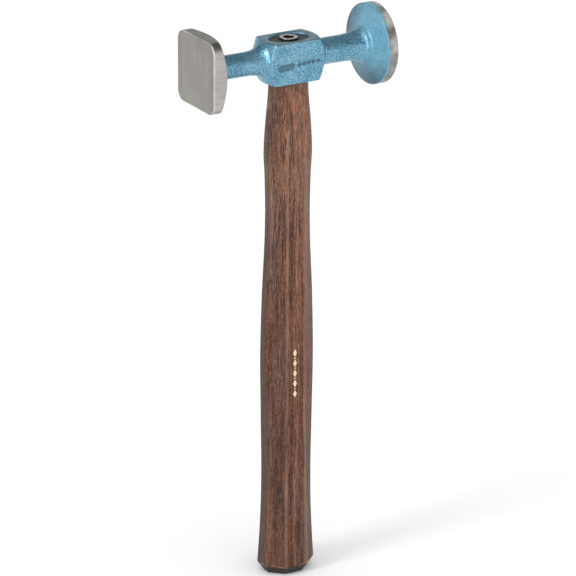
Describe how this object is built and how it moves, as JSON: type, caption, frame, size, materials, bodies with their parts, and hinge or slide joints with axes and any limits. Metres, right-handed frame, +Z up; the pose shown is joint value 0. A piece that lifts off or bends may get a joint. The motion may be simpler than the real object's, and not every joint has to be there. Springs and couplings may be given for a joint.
{
  "type": "panel beating hammer",
  "caption": "Short-headed sheet metal planishing hammer: one square and one round flat face on a turned steel head, oval eye, octagonal wooden handle with a ring wedge.",
  "frame": {"origin": "centre of the handle's butt end, at the bottom of the tool", "axes": "+Z up the handle to the head, +X from the handle to the round face, -X to the square face, Y across the head"},
  "size_m": [0.1158, 0.046, 0.3312],
  "materials": {
    "head_paint": "blue hammertone enamel; the striking faces and their rims are bare ground steel",
    "handle_wood": "dark red-brown stained hickory, satin lacquer",
    "wedge_steel": "bare turned steel, slightly darkened",
    "ground_steel": "bare ground steel of the striking faces and their rims, fine grinding marks",
    "gold_foil": "thin hot-stamped foil ornament on the handle"
  },
  "bodies": {
    "root": {"hammer_head": "head_paint", "hickory_handle": "handle_wood", "ring_wedge": "wedge_steel"}
  },
  "joints": []
}
